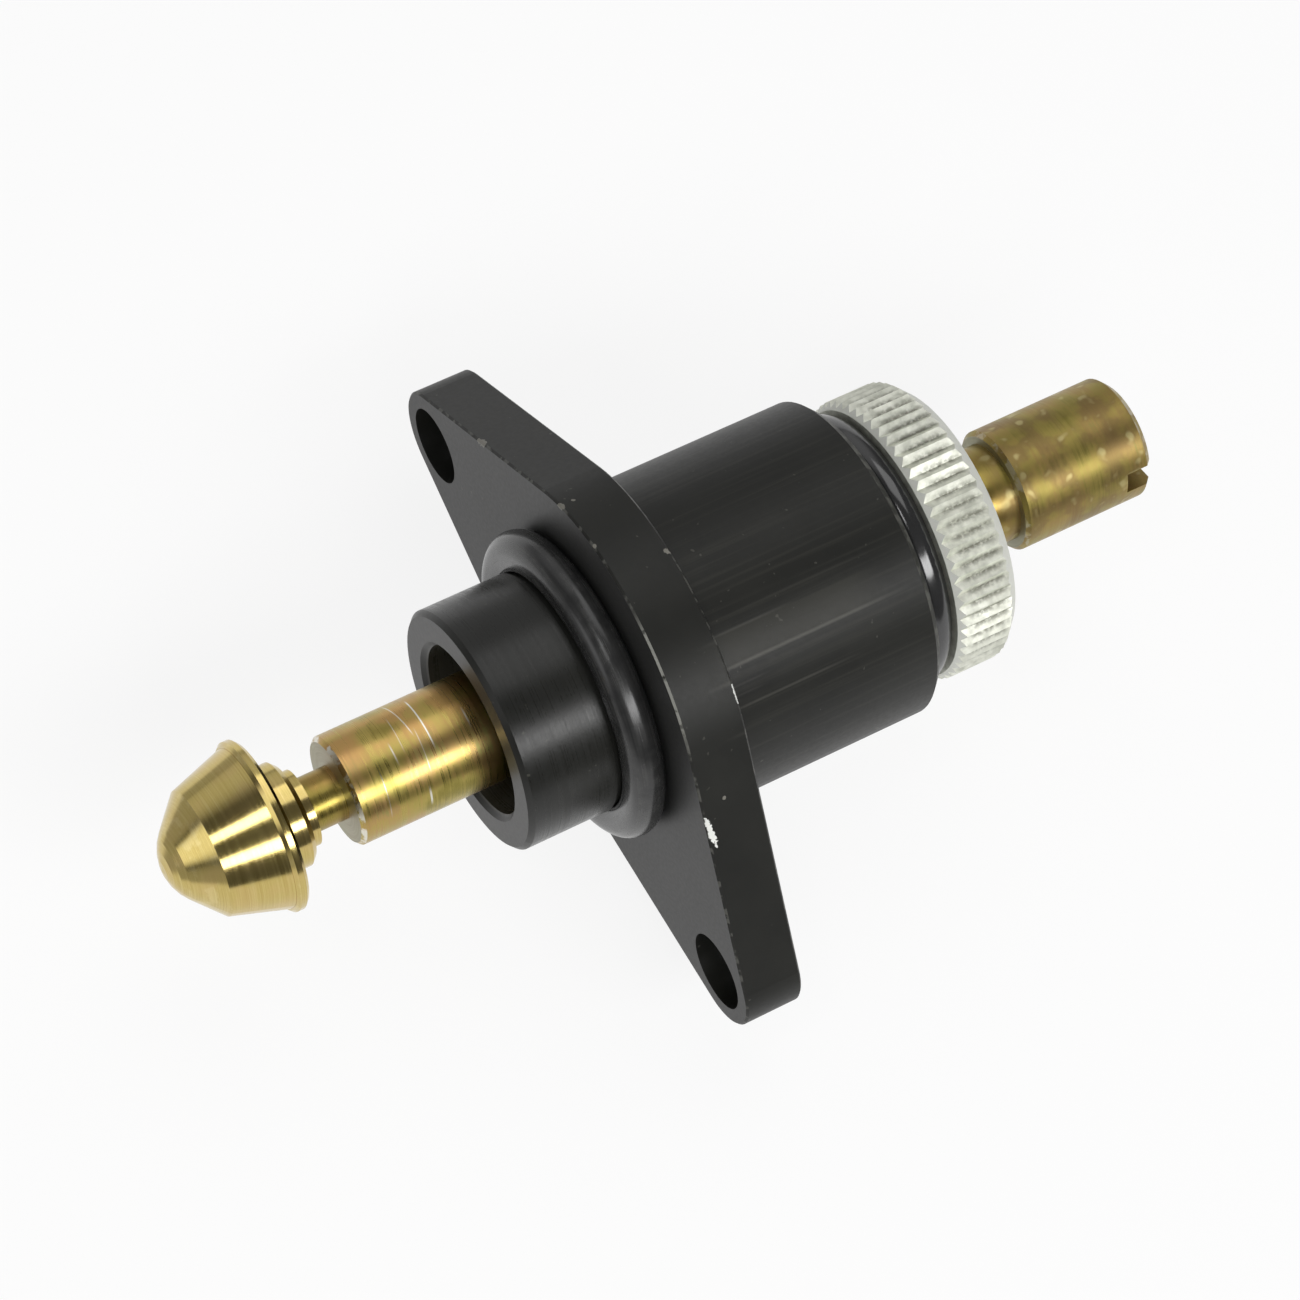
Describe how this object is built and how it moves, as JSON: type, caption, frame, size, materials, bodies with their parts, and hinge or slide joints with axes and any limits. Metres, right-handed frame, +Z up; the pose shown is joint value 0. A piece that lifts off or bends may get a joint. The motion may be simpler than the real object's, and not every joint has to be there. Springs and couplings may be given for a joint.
{
  "type": "screw-adjusted idle control valve",
  "caption": "Idle control valve with a cone on a slotted screw spindle, a flanged black body, face seals and a knurled lock nut; the screw sets how far the cone stands out.",
  "frame": {"origin": "where the valve's axis crosses the flange's front face", "axes": "+X along the valve's axis toward the cone, Y along the two ears, +Z up, away from the bolt line"},
  "size_m": [0.0769, 0.0512, 0.03],
  "materials": {
    "black_anodised": "black anodised, satin, with worn edges",
    "seal_rubber": "smooth moulded rubber",
    "yellow_zinc_steel": "turned, yellow-passivated zinc",
    "turned_brass": "bright turned",
    "bright_zinc_steel": "bright zinc, straight knurl"
  },
  "bodies": {
    "housing": {"valve_body": "black_anodised", "flange_o_ring": "seal_rubber"},
    "cone": {"pintle_cone": "turned_brass"},
    "screw": {"spindle": "yellow_zinc_steel"},
    "rear_seal": {"nut_o_ring": "seal_rubber"},
    "nut": {"lock_nut": "bright_zinc_steel"}
  },
  "joints": [
    {"name": "spindle_travel", "type": "slide", "parent": "housing", "child": "cone", "axis": [1, 0, 0], "range_m": [-0.012, 0.002]},
    {"name": "spindle_turn", "type": "hinge", "parent": "cone", "child": "screw", "pos_m": [0, 0, 0], "axis": [1, 0, 0], "range_deg": [-4320, 720]},
    {"name": "nut_travel", "type": "slide", "parent": "housing", "child": "rear_seal", "axis": [1, 0, 0], "range_m": [-0.0015, 0]},
    {"name": "nut_turn", "type": "hinge", "parent": "rear_seal", "child": "nut", "pos_m": [-0.025, 0, 0], "axis": [1, 0, 0], "range_deg": [-540, 0]}
  ],
  "couplings": [
    {"joint": "spindle_travel", "follows": "spindle_turn", "m_per_rad": 0.00015915},
    {"joint": "nut_travel", "follows": "nut_turn", "m_per_rad": 0.00015915}
  ]
}
